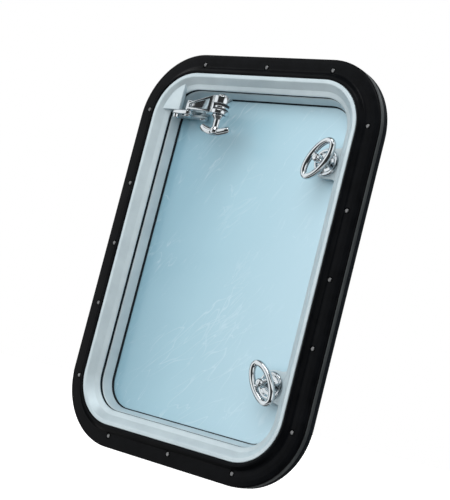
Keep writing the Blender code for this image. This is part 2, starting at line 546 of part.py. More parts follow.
    # Wing knob under the elbow
    top = ELBOW_LOW - GAP - KNOB_LOW
    knob_profile = [(0, 0), (5.0, 0), (6.2, 2.0), (6.0, 5.0), (4.4, 8.0), (4.4, top - 5), (7.6, top - 1.6), (7.6, top),
                    (PIN_RADIUS + HOLE_PLAY, top), (PIN_RADIUS + HOLE_PLAY, 5.0), (0, 5.0)]
    knob_axis = (elbow_x, elbow_depth, KNOB_LOW)
    knob = add("wing_knob", turned(knob_profile, knob_axis, (0, 0, 1)), POLISHED_STEEL)
    wing = [(WING_REACH * t * MM, WING_RISE * t * t * MM) for t in (-1, -0.8, -0.6, -0.4, -0.2, 0, 0.2, 0.4, 0.6, 0.8, 1)]
    bar = poly_curve("wing", wing, closed=False)
    bar.data.dimensions = "3D"
    bar.data.bevel_depth = WING_RADIUS * MM
    bar.data.bevel_resolution = 3
    bar.data.use_fill_caps = True
    bar.matrix_world = (Matrix.Translation(place(elbow_x, elbow_depth, KNOB_LOW + 3.0))
                        @ Matrix.Rotation(math.radians(KNOB_REST_ANGLE), 4, "Z") @ FACE_ON)
    combine(knob, "UNION", "wings", take_mesh(bar))
    move_origin(knob, place(*knob_axis))


build_frame()
build_sash()
for dog in ("upper", "lower"):
    build_dog(dog)
build_stay()
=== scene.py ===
"""Looks of the opening porthole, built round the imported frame.

Lengths below are millimetres: x to the right and z up from the centre of the opening, and depth outboard from
the frame's rim. The seat plane, at depth SEAT, is y = 0 in the frame's own metres.
"""

import json
import math

import bmesh
import bpy
from mathutils import Matrix, Vector


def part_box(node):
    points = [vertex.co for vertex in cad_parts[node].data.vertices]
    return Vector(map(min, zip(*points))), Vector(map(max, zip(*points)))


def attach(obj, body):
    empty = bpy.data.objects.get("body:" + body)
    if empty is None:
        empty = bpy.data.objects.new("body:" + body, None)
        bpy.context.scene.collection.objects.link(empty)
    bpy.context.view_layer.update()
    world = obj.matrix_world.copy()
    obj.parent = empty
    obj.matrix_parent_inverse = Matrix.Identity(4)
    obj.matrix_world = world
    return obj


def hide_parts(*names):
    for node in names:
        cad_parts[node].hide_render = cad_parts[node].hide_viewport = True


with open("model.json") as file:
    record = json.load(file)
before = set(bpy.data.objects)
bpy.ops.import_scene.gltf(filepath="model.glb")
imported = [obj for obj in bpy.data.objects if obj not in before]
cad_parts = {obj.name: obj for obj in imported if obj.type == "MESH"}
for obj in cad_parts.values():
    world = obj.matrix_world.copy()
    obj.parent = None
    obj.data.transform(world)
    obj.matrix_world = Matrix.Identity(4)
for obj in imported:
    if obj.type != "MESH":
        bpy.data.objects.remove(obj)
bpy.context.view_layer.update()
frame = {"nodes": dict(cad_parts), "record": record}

MM = 0.001
SEAT = 22.3
RIM_HALF_WIDTH, RIM_HALF_HEIGHT, RIM_RADIUS = 140.2, 201.2, 52.5
CORNER_STEPS = 22
WHERE = ("upper", "lower")
INBOARD, OUTBOARD, UP = (0, -1, 0), (0, 1, 0), (0, 0, 1)


# ---------------------------------------------------------------- materials

GLASS_HALF_WIDTH, GLASS_HALF_HEIGHT = 0.118, 0.18      # metres, as the shader reads them
# Each set of creases in the glass's film: scale, turn and stretch of its pattern, and width of its lines
CREASES = ((11.0, 0.95, 5.0, 0.012), (8.0, 0.7, 7.0, 0.009), (15.0, 1.1, 5.0, 0.012))


def new_material(name):
    """A material with its Principled shader, and a function that adds linked nodes to it."""
    made = bpy.data.materials.new(name)
    made.use_nodes = True
    tree = made.node_tree
    shader = tree.nodes["Principled BSDF"]

    def node(kind, links=(), **settings):
        return add_node(tree, kind, links, **settings)

    def link(source, target):
        tree.links.new(source, shader.inputs[target])

    return made, shader, node, link


def add_node(tree, kind, links=(), **settings):
    """A node with its sockets or properties set, and its inputs linked."""
    added = tree.nodes.new(kind)
    for key, value in settings.items():
        if key in added.inputs:
            added.inputs[key].default_value = value
        else:
            setattr(added, key, value)
    for socket, source in links:
        tree.links.new(source, added.inputs[socket])
    return added


def ramp(node, source, stops):
    """A colour ramp over a value; each stop is (position, grey or colour)."""
    made = node("ShaderNodeValToRGB", links=[("Fac", source)])
    elements = made.color_ramp.elements
    while len(elements) < len(stops):
        elements.new(1.0)
    for element, (position, colour) in zip(elements, stops):
        element.position = position
        grey = isinstance(colour, (int, float))
        element.color = (colour, colour, colour, 1) if grey else (*colour, 1)
    return made.outputs["Color"]


def position_node(node, scale=(1, 1, 1), turn=(0, 0, 0)):
    """Object coordinates in metres, turned and then scaled."""
    place = node("ShaderNodeTexCoord").outputs["Object"]
    turned = node("ShaderNodeMapping", links=[("Vector", place)], Rotation=turn)
    scaled = node("ShaderNodeMapping", links=[("Vector", turned.outputs["Vector"])], Scale=scale)
    return scaled.outputs["Vector"]


def noise(node, vector, scale, detail=2.0, roughness=0.5, distortion=0.0):
    made = node("ShaderNodeTexNoise", links=[("Vector", vector)], Scale=scale, Detail=detail,
                Roughness=roughness, Distortion=distortion)
    return made.outputs["Fac"]


def math_node(node, operation, first, second, third=None):
    """A maths node; each input is a socket or a number."""
    made = node("ShaderNodeMath", operation=operation)
    for socket, value in zip(made.inputs, (first, second, third)):
        if isinstance(value, (int, float)):
            socket.default_value = value
        elif value is not None:
            made.id_data.links.new(value, socket)
    return made.outputs[0]


def bump(node, link, height, strength, distance):
    made = node("ShaderNodeBump", links=[("Height", height)], Strength=strength, Distance=distance)
    link(made.outputs["Normal"], "Normal")
    return made


def cast_metal(name, dark, light, roughness, grain):
    """Satin silver casting: faint cloudy colour, uneven sheen and a fine blasted grain."""
    made, shader, node, link = new_material(name)
    shader.inputs["Metallic"].default_value = 0.35
    place = position_node(node)
    cloud = noise(node, place, 38.0, 5.0, 0.6)
    link(ramp(node, cloud, [(0.3, dark), (0.7, light)]), "Base Color")
    patch = noise(node, place, 120.0, 3.0)
    link(ramp(node, patch, [(0.25, roughness - 0.06), (0.75, roughness + 0.06)]), "Roughness")
    fine = noise(node, place, 1400.0, 3.0, 0.6)
    bump(node, link, fine, grain, 0.0002)
    return made


def black_coat():
    """Satin black coating on the trim ring, with slight orange peel and dusty wear."""
    made, shader, node, link = new_material("satin_black_coating")
    shader.inputs["Specular IOR Level"].default_value = 0.07
    place = position_node(node)
    dust = noise(node, place, 60.0, 6.0, 0.65)
    link(ramp(node, dust, [(0.35, (0.0012, 0.0015, 0.002)), (0.8, (0.0032, 0.0038, 0.005))]), "Base Color")
    link(ramp(node, noise(node, place, 25.0, 4.0), [(0.3, 0.28), (0.7, 0.4)]), "Roughness")
    bump(node, link, noise(node, place, 700.0, 2.0), 0.25, 0.0003)
    return made


def soft_rubber():
    made, shader, node, link = new_material("black_rubber")
    shader.inputs["Specular IOR Level"].default_value = 0.2
    place = position_node(node)
    cloud = noise(node, place, 180.0, 4.0)
    link(ramp(node, cloud, [(0.3, (0.004, 0.007, 0.01)), (0.8, (0.012, 0.017, 0.022))]), "Base Color")
    link(ramp(node, noise(node, place, 500.0), [(0.3, 0.6), (0.7, 0.8)]), "Roughness")
    bump(node, link, noise(node, place, 1500.0, 3.0), 0.4, 0.0002)
    return made


def polished_metal():
    """Mirror-polished stainless steel with faint swirls left by the buffing wheel."""
    made, shader, node, link = new_material("polished_stainless")
    shader.inputs["Metallic"].default_value = 1.0
    place = position_node(node)
    link(ramp(node, noise(node, place, 90.0, 3.0), [(0.3, (0.62, 0.67, 0.7)), (0.7, (0.72, 0.77, 0.8))]),
         "Base Color")
    swirl = noise(node, position_node(node, (1, 1, 9)), 260.0, 6.0, 0.7, 1.5)
    link(ramp(node, swirl, [(0.3, 0.03), (0.75, 0.1)]), "Roughness")
    bump(node, link, swirl, 0.05, 0.0002)
    return made


def brushed_metal():
    made, shader, node, link = new_material("plain_stainless")
    shader.inputs["Metallic"].default_value = 1.0
    place = position_node(node, (1, 6, 1))
    link(ramp(node, noise(node, place, 300.0, 4.0), [(0.3, (0.16, 0.165, 0.17)), (0.7, (0.3, 0.305, 0.31))]),
         "Base Color")
    link(ramp(node, noise(node, place, 900.0, 3.0), [(0.3, 0.3), (0.7, 0.45)]), "Roughness")
    bump(node, link, noise(node, place, 1800.0, 2.0), 0.2, 0.0001)
    return made


def grey_nylon():
    made, shader, node, link = new_material("nylon")
    place = position_node(node)
    cloud = noise(node, place, 250.0, 3.0)
    link(ramp(node, cloud, [(0.3, (0.03, 0.03, 0.033)), (0.7, (0.055, 0.055, 0.06))]), "Base Color")
    link(ramp(node, noise(node, place, 600.0), [(0.3, 0.4), (0.7, 0.55)]), "Roughness")
    bump(node, link, noise(node, place, 1500.0), 0.15, 0.0002)
    return made


def filmed_glass():
    """Pale blue glass under a clear protective film, which has drawn into thin whitish creases. The blue is
    the glass's own; its sweep from deep on the left to pale on the right, lighter lower down, is a painted
    reflection.
    """
    made, shader, node, link = new_material("filmed_glass")
    shader.inputs["IOR"].default_value = 1.45
    shader.inputs["Roughness"].default_value = 0.14
    shader.inputs["Transmission Weight"].default_value = 0.1
    spread = node("ShaderNodeSeparateXYZ", links=[("Vector", position_node(node))])
    # Painted reflection: the glass's colour is swept across x and down z, as a reflected sky gradient would
    # fall on it
    across = node("ShaderNodeMapRange", links=[("Value", spread.outputs["X"])],
                  **{"From Min": -GLASS_HALF_WIDTH, "From Max": GLASS_HALF_WIDTH})
    fall = node("ShaderNodeMapRange", links=[("Value", spread.outputs["Z"])],
                **{"From Min": GLASS_HALF_HEIGHT, "From Max": -GLASS_HALF_HEIGHT})
    soft = noise(node, position_node(node, (1, 1, 1.6), (0, 0.6, 0)), 9.0, 3.0, 0.5, 0.4)
    cloudy = math_node(node, "MULTIPLY", soft, 0.12)
    lower = math_node(node, "MULTIPLY_ADD", fall.outputs["Result"], 0.14, cloudy)
    sweep = math_node(node, "MULTIPLY_ADD", across.outputs["Result"], 0.76, lower)
    # The glass's own blue with a painted reflection over it: deep at the left, pale at the right
    tint_with_painted_reflection = ramp(node, sweep, [(0.05, (0.2, 0.37, 0.46)), (0.45, (0.36, 0.56, 0.65)),
                              (0.95, (0.49, 0.68, 0.77))])

    creases = None
    for scale, turn, stretch, width in CREASES:
        warped = noise(node, position_node(node, (1, 1, stretch), (0, turn, 0)), scale, 2.0, 0.5, 0.5)
        line = ramp(node, warped, [(0.5 - width, 0.0), (0.5, 1.0), (0.5 + width, 0.0)])
        mask = noise(node, position_node(node, (1, 1, 2), (0, turn, 0)), scale * 0.9, 2.0)
        crease = math_node(node, "MULTIPLY", line, ramp(node, mask, [(0.5, 0.0), (0.66, 1.0)]))
        creases = crease if creases is None else math_node(node, "MAXIMUM", creases, crease)
    mixed = node("ShaderNodeMix", data_type="RGBA")
    made.node_tree.links.new(math_node(node, "MULTIPLY", creases, 0.2), mixed.inputs[0])
    made.node_tree.links.new(tint_with_painted_reflection, mixed.inputs[6])
    mixed.inputs[7].default_value = (0.86, 0.95, 1.0, 1)
    link(mixed.outputs[2], "Base Color")
    bump(node, link, creases, 0.2, 0.0003)
    return made


LOOKS = {
    "cast_aluminium": cast_metal("cast_aluminium", (0.47, 0.56, 0.6), (0.55, 0.645, 0.68), 0.38, 0.3),
    "black_coating": black_coat(),
    "black_rubber": soft_rubber(),
    "polished_steel": polished_metal(),
    "brushed_steel": brushed_metal(),
    "toughened_glass": filmed_glass(),
    "nylon": grey_nylon(),
}
SLOT_OF = {part["node"]: part["material_slot"] for part in frame["record"]["subparts"]}
BODY_OF = {node: body for body, nodes in frame["record"]["behaviour"]["bodies"].items() for node in nodes}


# ---------------------------------------------------------------- shapes


def place(x, depth, z):
    return Vector((x, depth - SEAT, z)) * MM


def shade(mesh, angle):
    """Smooth shading that stays crisp at edges sharper than the angle, in degrees."""
    mesh.polygons.foreach_set("use_smooth", [True] * len(mesh.polygons))
    mesh.set_sharp_from_angle(angle=math.radians(angle))


def as_piece(name, mesh, nodes, angle=35):
    """A piece that stands for the CAD nodes, on their body and with their finish."""
    piece = bpy.data.objects.new(name, mesh)
    bpy.context.scene.collection.objects.link(piece)
    slot_name = SLOT_OF[nodes[0]]
    mesh.materials.clear()
    mesh.materials.append(LOOKS[slot_name])
    shade(mesh, angle)
    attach(piece, BODY_OF[nodes[0]])
    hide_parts(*nodes)
    return piece


def rounded(section, radius, steps=3):
    """The closed section with each corner rounded as far as its neighbours leave room."""
    points = []
    count = len(section)
    for i, corner in enumerate(section):
        here = Vector(corner)
        before, after = Vector(section[i - 1]) - here, Vector(section[(i + 1) % count]) - here
        half = before.angle(after) / 2
        if half > math.radians(88):
            points.append(tuple(here))
            continue
        reach = min(radius / math.tan(half), 0.48 * before.length, 0.48 * after.length)
        start, end = here + before.normalized() * reach, here + after.normalized() * reach
        for step in range(steps + 1):
            t = step / steps
            points.append(tuple(start * (1 - t) ** 2 + here * 2 * t * (1 - t) + end * t * t))
    return points


def mesh_from(name, vertices, faces):
    mesh = bpy.data.meshes.new(name)
    mesh.from_pydata(vertices, [], faces)
    return tidied(mesh)


def tidied(mesh):
    """The same mesh with doubled points merged and every face turned outwards."""
    work = bmesh.new()
    work.from_mesh(mesh)
    bmesh.ops.remove_doubles(work, verts=work.verts, dist=0.000002)
    bmesh.ops.dissolve_degenerate(work, edges=work.edges, dist=0.000001)
    bmesh.ops.recalc_face_normals(work, faces=work.faces)
    work.to_mesh(mesh)
    work.free()
    return mesh


def joined(meshes):
    work = bmesh.new()
    for mesh in meshes:
        work.from_mesh(mesh)
    whole = bpy.data.meshes.new("joined")
    work.to_mesh(whole)
    work.free()
    return whole


def ring_mesh(name, section):
    """The (inset, depth) section swept round the rim's outline."""
    spots = []
    for quarter in range(4):
        cx = (RIM_HALF_WIDTH - RIM_RADIUS) * (1 if quarter in (0, 3) else -1)
        cz = (RIM_HALF_HEIGHT - RIM_RADIUS) * (1 if quarter < 2 else -1)
        for step in range(CORNER_STEPS + 1):
            spots.append((cx, cz, math.radians(90 * (quarter + step / CORNER_STEPS))))
    count = len(section)
    vertices = []
    for cx, cz, angle in spots:
        for inset, depth in section:
            reach = RIM_RADIUS - inset
            vertices.append(place(cx + reach * math.cos(angle), depth, cz + reach * math.sin(angle)))
    faces = []
    for i in range(len(spots)):
        j = (i + 1) % len(spots)
        for k in range(count):
            m = (k + 1) % count
            faces.append((i * count + k, i * count + m, j * count + m, j * count + k))
    return mesh_from(name, vertices, faces)


def turned(name, profile, base, direction, segments=48):
    """A turned solid from (radius, distance) points, closed back to its first point."""
    vertices = []
    faces = []
    count = len(profile)
    turn = Vector(direction).to_track_quat("Z", "Y").to_matrix()
    origin = place(*base)
    for step in range(segments):
        angle = math.tau * step / segments
        for radius, along in profile:
            spot = Vector((radius * math.cos(angle), radius * math.sin(angle), along))
            vertices.append(origin + turn @ spot * MM)
    for i in range(segments):
        j = (i + 1) % segments
        for k in range(count):
            m = (k + 1) % count
            faces.append((i * count + k, j * count + k, j * count + m, i * count + m))
    return mesh_from(name, vertices, faces)


def turned_soft(name, profile, radius, base, direction):
    """A turned solid whose edges off the axis are rounded."""
    soft = [(max(reach, 0.0), along) for reach, along in rounded(profile, radius)]
    return turned(name, soft, base, direction)


def bar_profile(radius, length):
    return [(0, 0), (radius, 0), (radius, length), (0, length)]


def upright(x, z, radius, front, back):
    """A round bar square to the glass."""
    return turned("bar", bar_profile(radius, back - front), (x, front, z), OUTBOARD)


def level_bar(x, depth, radius, low, high):
    """A round bar along z."""
    return turned("bar", bar_profile(radius, high - low), (x, depth, low), UP)


def prism(name, outline, low, high, level):
    """A plate from an outline: level plates lie between two heights, upright ones between two depths."""
    bottom = [place(a, b, low) if level else place(a, low, b) for a, b in outline]
    top = [place(a, b, high) if level else place(a, high, b) for a, b in outline]
    count = len(outline)
    faces = [tuple(range(count)), tuple(range(count, 2 * count))]
    faces += [(i, (i + 1) % count, count + (i + 1) % count, count + i) for i in range(count)]
    return mesh_from(name, bottom + top, faces)


def arc(centre, radius, start, end, segments=20):
    angles = [math.radians(start + (end - start) * i / segments) for i in range(segments + 1)]
    return [(centre[0] + radius * math.cos(a), centre[1] + radius * math.sin(a)) for a in angles]


def tube_mesh(name, path, radius, closed, sides=20):
    """A round bar along points in metres, radius in millimetres or one for each point."""
    count = len(path)
    radii = [radius] * count if isinstance(radius, (int, float)) else radius
    vertices = []
    tangent = path[1] - path[-1] if closed else path[1] - path[0]
    normal = tangent.orthogonal().normalized()
    for i, point in enumerate(path):
        after = path[(i + 1) % count] if closed or i < count - 1 else point
        before = path[i - 1] if closed or i else point
        tangent = (after - before).normalized()
        normal = (normal - tangent * normal.dot(tangent)).normalized()
        other = tangent.cross(normal)
        for side in range(sides):
            a = math.tau * side / sides
            vertices.append(point + (normal * math.cos(a) + other * math.sin(a)) * radii[i] * MM)
    faces = []
    for i in range(count if closed else count - 1):
        j = (i + 1) % count
        for k in range(sides):
            m = (k + 1) % sides
            faces.append((i * sides + k, i * sides + m, j * sides + m, j * sides + k))
    if not closed:
        faces.append(tuple(range(sides)))
        faces.append(tuple(range((count - 1) * sides, count * sides)))
    return mesh_from(name, vertices, faces)


def modified(mesh, add_modifiers):
    """The mesh after the modifiers that the function puts on an object that holds it."""
    holder = bpy.data.objects.new("holder", mesh)
    bpy.context.scene.collection.objects.link(holder)
    helpers = add_modifiers(holder) or []
    bpy.context.view_layer.update()
    result = bpy.data.meshes.new_from_object(holder.evaluated_get(bpy.context.evaluated_depsgraph_get()))
    for used in [holder, *helpers]:
        bpy.data.objects.remove(used, do_unlink=True)
    return result


def boolean(mesh, operation, others):
    """The mesh joined with, or cut by, other meshes."""
    def add_modifiers(holder):
        helpers = []
        for other in others:
            helper = bpy.data.objects.new("helper", other)
            bpy.context.scene.collection.objects.link(helper)
            change = holder.modifiers.new("change", "BOOLEAN")
            change.operation = operation
            change.solver = "EXACT"
            change.object = helper
            helpers.append(helper)
        return helpers

    return modified(mesh, add_modifiers)


def softened(mesh, width, steps=3, angle=40):
    """The mesh with its sharp edges rounded; width in millimetres."""
    def add_modifiers(holder):
        bevel = holder.modifiers.new("edges", "BEVEL")
        bevel.width = width * MM
        bevel.segments = steps
        bevel.limit_method = "ANGLE"
        bevel.angle_limit = math.radians(angle)
        bevel.use_clamp_overlap = True

    return modified(mesh, add_modifiers)


# ---------------------------------------------------------------- rings

# Sections of the rings as (inset, depth) points, inset counted inwards from the rim's outline
TRIM = [(0, 9.4), (0, 0.9), (-0.8, 0.1), (-2.2, -0.3), (-4.0, 0.4), (-6.0, 2.3), (-7.4, 3.8), (-9.0, 4.5),
        (-13.5, 4.7), (-18.5, 5.3), (-22.2, 6.1), (-23.4, 6.9), (-23.8, 7.8), (-23.8, 9.4)]
FRAME = [(-23.8, 9.7), (0.3, 9.7), (0.3, 0.3), (0.9, 0), (4.1, 0), (4.9, 0.4), (11.3, 6.8), (15.4, 8.8),
         (16.7, 9.7), (16.7, 10.7), (14.0, 10.7), (14.0, 11.7), (2.0, 11.7), (2.0, 37), (-1.8, 37),
         (-1.8, 15.3), (-23.8, 15.3)]
GASKET = [(-23.3, 15.6), (-2.5, 15.6), (-2.5, 22.3), (-23.3, 22.3)]
SEAL = [(14.3, 11.0), (17.0, 11.0), (17.0, 13.7), (7.5, 13.7), (7.5, 12.0), (14.3, 12.0)]
SASH = [(4.2, 14.0), (16.8, 14.0), (17.6, 14.8), (21.2, 24.6), (20.8, 25.2), (12.5, 25.2), (12.5, 38.0),
        (4.2, 38.0)]
FRONT_GASKET = [(12.8, 25.5), (21.6, 25.5), (22.2, 26.1), (22.2, 27.4), (12.8, 27.4)]
REAR_TAPE = [(12.8, 36.0), (18.0, 36.0), (18.0, 36.7), (12.8, 36.7)]
BEAD = [(12.8, 37.0), (19.5, 37.0), (19.5, 37.8), (17.2, 39.6), (12.8, 39.6)]
SINK = [(0, -1), (4.0, -1), (3.2, 0.3), (2.2, 1.8), (0, 1.8)]
SINK_DEPTH = 4.3


def bounds(node):
    """The CAD node's lowest and highest x, depth and z."""
    low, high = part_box(node)
    shift = Vector((0, SEAT, 0))
    return Vector(low) / MM + shift, Vector(high) / MM + shift


def centre(node):
    low, high = bounds(node)
    return (low + high) / 2


trim_screws = sorted(name for name in frame["nodes"] if name.startswith("trim_screw_"))
screw_spots = [centre(name) for name in trim_screws]
sinks = [turned("sink", SINK, (spot.x, SINK_DEPTH, spot.z), OUTBOARD, 28) for spot in screw_spots]
trim = boolean(ring_mesh("trim", rounded(TRIM, 4.0, 4)), "DIFFERENCE", [joined(sinks)])
as_piece("trim_ring_skin", trim, ["trim_ring"], 32)
for name, section, radius in (("flange_gasket", GASKET, 0.5), ("frame_seal", SEAL, 0.5),
                              ("front_glazing_gasket", FRONT_GASKET, 0.3),
                              ("rear_glazing_tape", REAR_TAPE, 0.1), ("glazing_bead", BEAD, 0.5)):
    as_piece(f"{name}_skin", ring_mesh(name, rounded(section, radius)), [name], 40)

# ---------------------------------------------------------------- main frame: gusset and hinge lugs

GUSSET_INSET = 7.5
GUSSET_ARC = (114, 167.7)
GUSSET_TIP = (-106, 158.3)
GUSSET_FRONT, GUSSET_BACK = 4.0, 9.5
KNUCKLE_RADIUS = 4.5
KNUCKLE_LENGTH = 5.7
KNUCKLE_ROOT = [(-142.5, 29), (-139, 29), (-139, 36.5)]
PLAY = 0.3
PIN_BORE = 2.6
PIN_BORE_REACH = 20
SCREW_BORE = 1.8
BRACKET_SCREW_HOLE = (157, 166)
SHADE_EDGE_REACH = 20.0                       # how far outside the rim's outline the painted shade on the flange's outer edge begins
hinge = {where: centre(f"hinge_pin_{where}") for where in WHERE}
hinge_axis = (hinge["upper"].x, hinge["upper"].y)

corner = (-(RIM_HALF_WIDTH - RIM_RADIUS), RIM_HALF_HEIGHT - RIM_RADIUS)
gusset = prism("gusset", arc(corner, RIM_RADIUS - GUSSET_INSET, *GUSSET_ARC, 24) + [GUSSET_TIP],
               GUSSET_FRONT, GUSSET_BACK, False)
additions = [softened(gusset, 0.7)]
cuts = []
for where in WHERE:
    arm_low, arm_high = bounds(f"sash_hinge_arm_{where}")
    for low in (arm_high.z + PLAY, arm_low.z - PLAY - KNUCKLE_LENGTH):
        outline = arc(hinge_axis, KNUCKLE_RADIUS, 0, 180)
        outline += [(hinge_axis[0] - KNUCKLE_RADIUS, 36), *KNUCKLE_ROOT]
        additions.append(softened(prism("lug", outline, low, low + KNUCKLE_LENGTH, True), 0.5, 2))
    pin_z = hinge[where].z
    cuts.append(level_bar(*hinge_axis, PIN_BORE, pin_z - PIN_BORE_REACH, pin_z + PIN_BORE_REACH))
screw = centre("stay_bracket_screw")
cuts.append(level_bar(screw.x, screw.y, SCREW_BORE, *BRACKET_SCREW_HOLE))
main_frame = boolean(ring_mesh("main_frame", rounded(FRAME, 1.0)), "UNION", additions)
frame_skin = as_piece("main_frame_skin", boolean(main_frame, "DIFFERENCE", cuts), ["main_frame"], 38)

# The flange's outer edge gets a rougher, much darker finish than the faces: the darkness is painted shade
frame_skin.data.materials.append(cast_metal("painted_shade_edge", (0.07, 0.08, 0.085), (0.12, 0.135, 0.14), 0.5, 0.3))
for face in frame_skin.data.polygons:
    reach_x = abs(face.center.x) / MM - (RIM_HALF_WIDTH - RIM_RADIUS)
    reach_z = abs(face.center.z) / MM - (RIM_HALF_HEIGHT - RIM_RADIUS)
    outside = math.hypot(max(reach_x, 0), max(reach_z, 0)) + min(max(reach_x, reach_z), 0) - RIM_RADIUS
    if outside > SHADE_EDGE_REACH:
        face.material_index = 1

# ---------------------------------------------------------------- sash: dog lugs and stay lug

LUG_RADIUS = 16.5
LUG_FRONT, LUG_BACK = 18.8, 23.0
LUG_FLARE = [(-7, 0), (-3, 1), (-0.6, 4), (2, 7)]      # beyond the sash's lip, and beyond the lug's radius
SASH_LIP = RIM_HALF_WIDTH - 21.2
SPINDLE_BORE = 3.0
STAY_BORE = 3.3
STAY_LUG_EAR = 2.7
STAY_LUG_RADIUS = 5.2
STAY_LUG_BACK = 25.1
SLOT_REACH = 9
SLOT_FRONT, SLOT_BACK = 10, 30
HINGE_SCREW_HOLE = (30, 39)

additions = []
cuts = []
for where in WHERE:
    spot = centre(f"dog_spindle_{where}")
    outline = arc((spot.x, spot.z), LUG_RADIUS, 90, 270, 30)
    for side in (-1, 1):
        flare = [(SASH_LIP + x, spot.z + side * (LUG_RADIUS + z)) for x, z in LUG_FLARE]
        outline += flare if side < 0 else flare[::-1]
    additions.append(softened(prism("dog_lug", outline, LUG_FRONT, LUG_BACK, False), 1.0, 3, 50))
    cuts.append(upright(spot.x, spot.z, SPINDLE_BORE, LUG_FRONT - 2, LUG_BACK + 2))
pivot = centre("stay_sash_pin")
link_low, link_high = bounds("stay_link")
lug_low, lug_high = link_low.z - STAY_LUG_EAR, link_high.z + STAY_LUG_EAR
outline = [(-SASH_LIP - 1, 17.5), (-SASH_LIP + 2, 15.0)]
outline += arc((pivot.x, pivot.y), STAY_LUG_RADIUS, -90, 90)
outline.append((-SASH_LIP - 1, STAY_LUG_BACK))
additions.append(softened(prism("stay_lug", outline, lug_low, lug_high, True), 0.6, 2))
slot_left, slot_right = pivot.x - SLOT_REACH, pivot.x + SLOT_REACH
slot_outline = [(slot_left, SLOT_FRONT), (slot_right, SLOT_FRONT), (slot_right, SLOT_BACK),
                (slot_left, SLOT_BACK)]
cuts.append(prism("slot", slot_outline, link_low.z - PLAY, link_high.z + PLAY, True))
cuts.append(level_bar(pivot.x, pivot.y, STAY_BORE, lug_low - 1, lug_high + 1))
for name in frame["nodes"]:
    if name.startswith("hinge_screw_"):
        spot = centre(name)
        cuts.append(upright(spot.x, spot.z, SCREW_BORE, *HINGE_SCREW_HOLE))
sash = boolean(ring_mesh("sash_frame", rounded(SASH, 0.9)), "UNION", additions)
as_piece("sash_frame_skin", boolean(sash, "DIFFERENCE", cuts), ["sash_frame"], 38)

# ---------------------------------------------------------------- dogs

RING_HALF_LENGTH, RING_HALF_WIDTH, RING_TUBE = 25.8, 13.4, 3.4
RING_DEPTH = 2.5
RING_STEPS = 96
REST_ANGLE = {"upper": math.radians(59), "lower": math.radians(-53)}
ROSETTE = [(3.0, 0), (14.8, 0), (14.8, 1.6), (13.6, 2.9), (11.8, 2.9), (10.0, 1.7), (6.6, 2.0), (5.4, 4.2),
           (3.0, 4.2)]
SPINDLE_RADIUS = 2.7
CAP = [(3.0, 0), (4.3, 0), (4.3, 1.6), (2.8, 3.4), (0, 3.9), (0, 2.0), (3.0, 2.0)]
HUB_RADIUS, HUB_LENGTH = 4.6, 6.6
HUB_BACK = RING_DEPTH + 3.6
HUB_BORE = (-5, 12)
# The crossbar from its middle to the ring: how far along, and its radius there
HALF_CROSSBAR = [(0, 3.2), (0.3, 2.6), (0.6, 2.4), (0.75, 2.5), (0.9, 2.9), (1, 3.2)]
CROSSBAR = [(-along, radius) for along, radius in HALF_CROSSBAR[:0:-1]] + HALF_CROSSBAR


def turned_dog_piece(kind, where, profile, radius):
    """A turned piece on the dog's axis, built inboard from its own back face."""
    spot = centre(f"dog_spindle_{where}")
    node = f"dog_{kind}_{where}"
    mesh = turned_soft(kind, profile, radius, (spot.x, bounds(node)[1].y, spot.z), INBOARD)
    as_piece(f"dog_{kind}_skin_{where}", mesh, [node], 50)


for where in WHERE:
    low, high = bounds(f"dog_spindle_{where}")
    turned_dog_piece("base", where, ROSETTE, 1.0)
    turned_dog_piece("spindle", where, bar_profile(SPINDLE_RADIUS, high.y - low.y), 0.4)
    turned_dog_piece("cap", where, CAP, 0.7)

    spot = centre(f"dog_spindle_{where}")
    angle = REST_ANGLE[where]
    along = Vector((math.cos(angle), 0, math.sin(angle)))
    across = Vector((-math.sin(angle), 0, math.cos(angle)))
    axis = place(spot.x, RING_DEPTH, spot.z)
    half_length, half_width = RING_HALF_LENGTH - RING_TUBE, RING_HALF_WIDTH - RING_TUBE
    steps = [math.tau * step / RING_STEPS for step in range(RING_STEPS)]
    path = [axis + (along * half_length * math.cos(a) + across * half_width * math.sin(a)) * MM
            for a in steps]
    ring = tube_mesh("ring", path, RING_TUBE, True, 24)
    bar = tube_mesh("bar", [axis + across * half_width * MM * t for t, _ in CROSSBAR],
                    [radius for _, radius in CROSSBAR], False)
    hub = turned_soft("hub", bar_profile(HUB_RADIUS, HUB_LENGTH), 0.8, (spot.x, HUB_BACK, spot.z), INBOARD)
    bore = upright(spot.x, spot.z, SPINDLE_BORE, *HUB_BORE)
    handle = boolean(boolean(ring, "UNION", [bar, hub]), "DIFFERENCE", [bore])
    as_piece(f"dog_handle_skin_{where}", handle, [f"dog_handle_{where}"], 50)

# ---------------------------------------------------------------- folding stay

BRACKET_LEFT, BRACKET_RIGHT = [(-115, 9.4), (-115, 4.5), (-112, 3.0)], [(-104, 9.4)]
BRACKET_RADIUS = 5.6
BRACKET_BORES = (150, 160)
BRACKET_SCREW_BORE = 1.9
frame_pivot = centre("stay_frame_pin")
elbow = centre("stay_elbow_bolt")
low, high = bounds("stay_bracket")
outline = BRACKET_LEFT + arc((frame_pivot.x, frame_pivot.y), BRACKET_RADIUS, -90, 90) + BRACKET_RIGHT
bracket = softened(prism("bracket", outline, low.z, high.z, True), 0.8, 3)
cuts = [level_bar(frame_pivot.x, frame_pivot.y, STAY_BORE, *BRACKET_BORES),
        level_bar(screw.x, screw.y, BRACKET_SCREW_BORE, *BRACKET_BORES)]
as_piece("stay_bracket_skin", boolean(bracket, "DIFFERENCE", cuts), ["stay_bracket"], 40)

ARM_LOW, ARM_HIGH = 158.5, 167.5
ELBOW_LOW, ELBOW_HIGH = 150.0, 169.5
ELBOW_RADIUS = 10.8
FRAME_EYE_RADIUS = 4.8
LINK_EYE_RADIUS, LINK_END_RADIUS = 8.6, 4.9
WASHER_GAP = 1.8
ARM_BORES = (140, 180)
WEB_THICKNESS = 3.2
WEB_OFFSETS = (-2.4, -10.6)            # off the pivot line, at the frame and at the elbow
PANEL_START, PANEL_END = 9, 60
PANEL_DEPTH = 2.6
